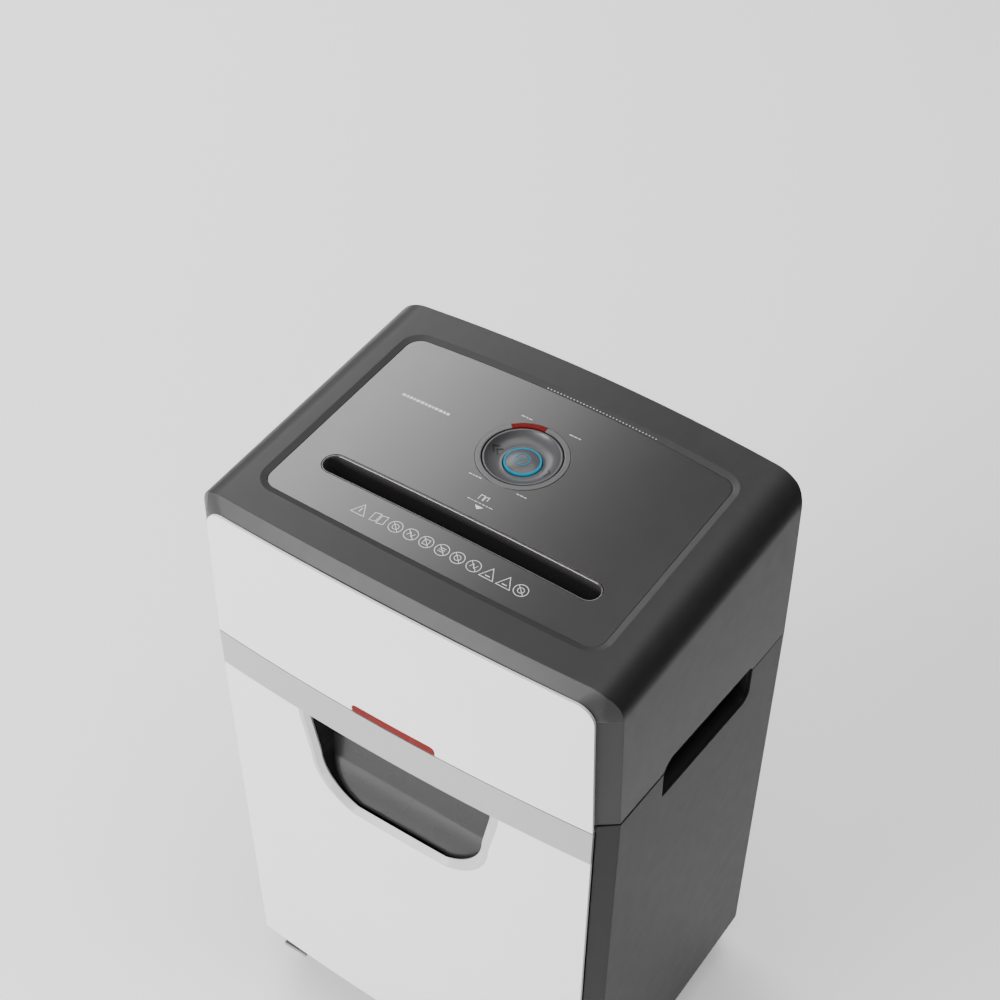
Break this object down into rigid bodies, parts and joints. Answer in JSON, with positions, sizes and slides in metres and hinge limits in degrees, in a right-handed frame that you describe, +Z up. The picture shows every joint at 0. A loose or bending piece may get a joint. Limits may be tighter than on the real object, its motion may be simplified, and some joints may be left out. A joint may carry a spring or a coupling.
{
  "type": "paper shredder",
  "caption": "Floor-standing paper shredder: paper mouth and round control in the lid, toothed cutter shafts driven through gears, and a bin that pulls out of the front, on twin-wheel casters.",
  "frame": {"origin": "on the floor, under the centre of the bounding box", "axes": "+Z up, the white front with the pull-out bin faces -Y, +X to the right seen from the front"},
  "size_m": [0.3762, 0.276, 0.62],
  "materials": {
    "casing": "dark grey, fine spark-erosion texture",
    "panel": "dark glossy smoked panel",
    "white": "white, satin gloss",
    "silver": "silver grey, satin",
    "red_lens": "red diffusing lens",
    "black": "black moulded",
    "control": "dark grey satin",
    "ring": "mid grey",
    "blue_lens": "blue lit ring",
    "board": "green circuit board",
    "steel_plate": "zinc-plated sheet steel",
    "steel": "machined steel",
    "cutter_steel": "oiled hardened steel",
    "bronze": "sintered bronze",
    "gear_nylon": "natural nylon",
    "base_plastic": "black-grey moulded",
    "tub": "dark grey moulded",
    "window": "smoked transparent",
    "bezel": "light grey satin",
    "caster_black": "black nylon",
    "tyre": "hard wheel tread",
    "brake": "grey pedal"
  },
  "bodies": {
    "cabinet": {"head_casing": "casing", "side_panel_left": "casing", "side_panel_right": "casing", "back_panel": "casing", "grip_cups": "casing", "top_panel": "panel", "front_panel": "white", "front_light_bar": "red_lens", "status_light_red": "red_lens", "status_ring": "ring", "feed_throat": "black", "paper_sensor": "black", "control_board": "board", "power_board": "board", "head_base": "base_plastic", "base_plate": "base_plastic", "chassis_plate_left": "steel_plate", "chassis_plate_right": "steel_plate", "tie_rods": "steel", "stripper_combs": "black", "shaft_bushes": "bronze", "gear_axles": "steel", "motor_can": "steel_plate", "gear_cover": "black", "interlock_switch": "black", "mains_switch_housing": "black", "cable_gland": "black", "bin_rails": "base_plastic", "casing_screws": "steel"},
    "bin": {"bin_tub": "tub", "bin_front": "white", "bin_handle_bar": "silver", "bin_window": "window", "window_bezel": "bezel", "bin_screws": "steel"},
    "motor_rotor": {"motor_rotor": "steel", "motor_fan": "black"},
    "gear_1": {"gear_stage_1": "gear_nylon"},
    "gear_2": {"gear_stage_2": "steel"},
    "cutter_rear": {"cutter_shaft_rear": "steel", "cutter_discs_rear": "cutter_steel", "sync_gear_rear": "steel", "drive_gear": "gear_nylon"},
    "cutter_front": {"cutter_shaft_front": "steel", "cutter_discs_front": "cutter_steel", "sync_gear_front": "steel"},
    "rocking_dish": {"control_dish": "control"},
    "power_key": {"power_button": "control", "power_light_ring": "blue_lens"},
    "mains_key": {"mains_rocker": "black"},
    "swivel_fl": {"caster_hood_fl": "caster_black"},
    "wheels_fl": {"caster_wheels_fl": "tyre"},
    "swivel_fr": {"caster_hood_fr": "caster_black"},
    "wheels_fr": {"caster_wheels_fr": "tyre"},
    "swivel_bl": {"caster_hood_bl": "caster_black"},
    "wheels_bl": {"caster_wheels_bl": "tyre"},
    "swivel_br": {"caster_hood_br": "caster_black"},
    "wheels_br": {"caster_wheels_br": "tyre"},
    "brake_fl": {"caster_brake_fl": "brake"},
    "brake_fr": {"caster_brake_fr": "brake"}
  },
  "joints": [
    {"name": "bin_slide", "type": "slide", "parent": "cabinet", "child": "bin", "axis": [0, -1, 0], "range_m": [0, 0.26]},
    {"name": "motor_spin", "type": "hinge", "parent": "cabinet", "child": "motor_rotor", "pos_m": [0.06, 0.07801, 0.51481], "axis": [1, 0, 0], "continuous": true},
    {"name": "gear_1_spin", "type": "hinge", "parent": "cabinet", "child": "gear_1", "pos_m": [0.14, 0.04853, 0.52439], "axis": [1, 0, 0], "continuous": true},
    {"name": "gear_2_spin", "type": "hinge", "parent": "cabinet", "child": "gear_2", "pos_m": [0.15, 0.0116, 0.5309], "axis": [1, 0, 0], "continuous": true},
    {"name": "cutter_rear_spin", "type": "hinge", "parent": "cabinet", "child": "cutter_rear", "pos_m": [0, -0.0321, 0.515], "axis": [1, 0, 0], "continuous": true},
    {"name": "cutter_front_spin", "type": "hinge", "parent": "cabinet", "child": "cutter_front", "pos_m": [0, -0.0671, 0.515], "axis": [1, 0, 0], "continuous": true},
    {"name": "dish_tilt", "type": "hinge", "parent": "cabinet", "child": "rocking_dish", "pos_m": [0, 0.0332, 0.6165], "axis": [0, 1, 0], "range_deg": [-2.5, 2.5], "stiffness_Nm_per_rad": 1},
    {"name": "power_press", "type": "slide", "parent": "cabinet", "child": "power_key", "axis": [0, 0, -1], "range_m": [0, 0.0015], "stiffness_N_per_m": 400},
    {"name": "mains_rock", "type": "hinge", "parent": "cabinet", "child": "mains_key", "pos_m": [-0.118, 0.13, 0.492], "axis": [1, 0, 0], "range_deg": [-7, 7]},
    {"name": "swivel_fl_turn", "type": "hinge", "parent": "cabinet", "child": "swivel_fl", "pos_m": [-0.138, -0.097, 0.05], "axis": [0, 0, 1], "continuous": true},
    {"name": "wheels_fl_roll", "type": "hinge", "parent": "swivel_fl", "child": "wheels_fl", "pos_m": [-0.138, -0.085, 0.022], "axis": [1, 0, 0], "continuous": true},
    {"name": "swivel_fr_turn", "type": "hinge", "parent": "cabinet", "child": "swivel_fr", "pos_m": [0.138, -0.097, 0.05], "axis": [0, 0, 1], "continuous": true},
    {"name": "wheels_fr_roll", "type": "hinge", "parent": "swivel_fr", "child": "wheels_fr", "pos_m": [0.138, -0.085, 0.022], "axis": [1, 0, 0], "continuous": true},
    {"name": "swivel_bl_turn", "type": "hinge", "parent": "cabinet", "child": "swivel_bl", "pos_m": [-0.138, 0.097, 0.05], "axis": [0, 0, 1], "continuous": true},
    {"name": "wheels_bl_roll", "type": "hinge", "parent": "swivel_bl", "child": "wheels_bl", "pos_m": [-0.138, 0.109, 0.022], "axis": [1, 0, 0], "continuous": true},
    {"name": "swivel_br_turn", "type": "hinge", "parent": "cabinet", "child": "swivel_br", "pos_m": [0.138, 0.097, 0.05], "axis": [0, 0, 1], "continuous": true},
    {"name": "wheels_br_roll", "type": "hinge", "parent": "swivel_br", "child": "wheels_br", "pos_m": [0.138, 0.109, 0.022], "axis": [1, 0, 0], "continuous": true},
    {"name": "brake_fl_press", "type": "hinge", "parent": "swivel_fl", "child": "brake_fl", "pos_m": [-0.138, -0.11, 0.04], "axis": [1, 0, 0], "range_deg": [0, 12]},
    {"name": "brake_fr_press", "type": "hinge", "parent": "swivel_fr", "child": "brake_fr", "pos_m": [0.138, -0.11, 0.04], "axis": [1, 0, 0], "range_deg": [0, 12]}
  ],
  "couplings": [
    {"joint": "gear_1_spin", "follows": "motor_spin", "ratio": -0.24},
    {"joint": "gear_2_spin", "follows": "motor_spin", "ratio": 0.073043},
    {"joint": "cutter_rear_spin", "follows": "motor_spin", "ratio": -0.021304},
    {"joint": "cutter_front_spin", "follows": "motor_spin", "ratio": 0.021304}
  ]
}
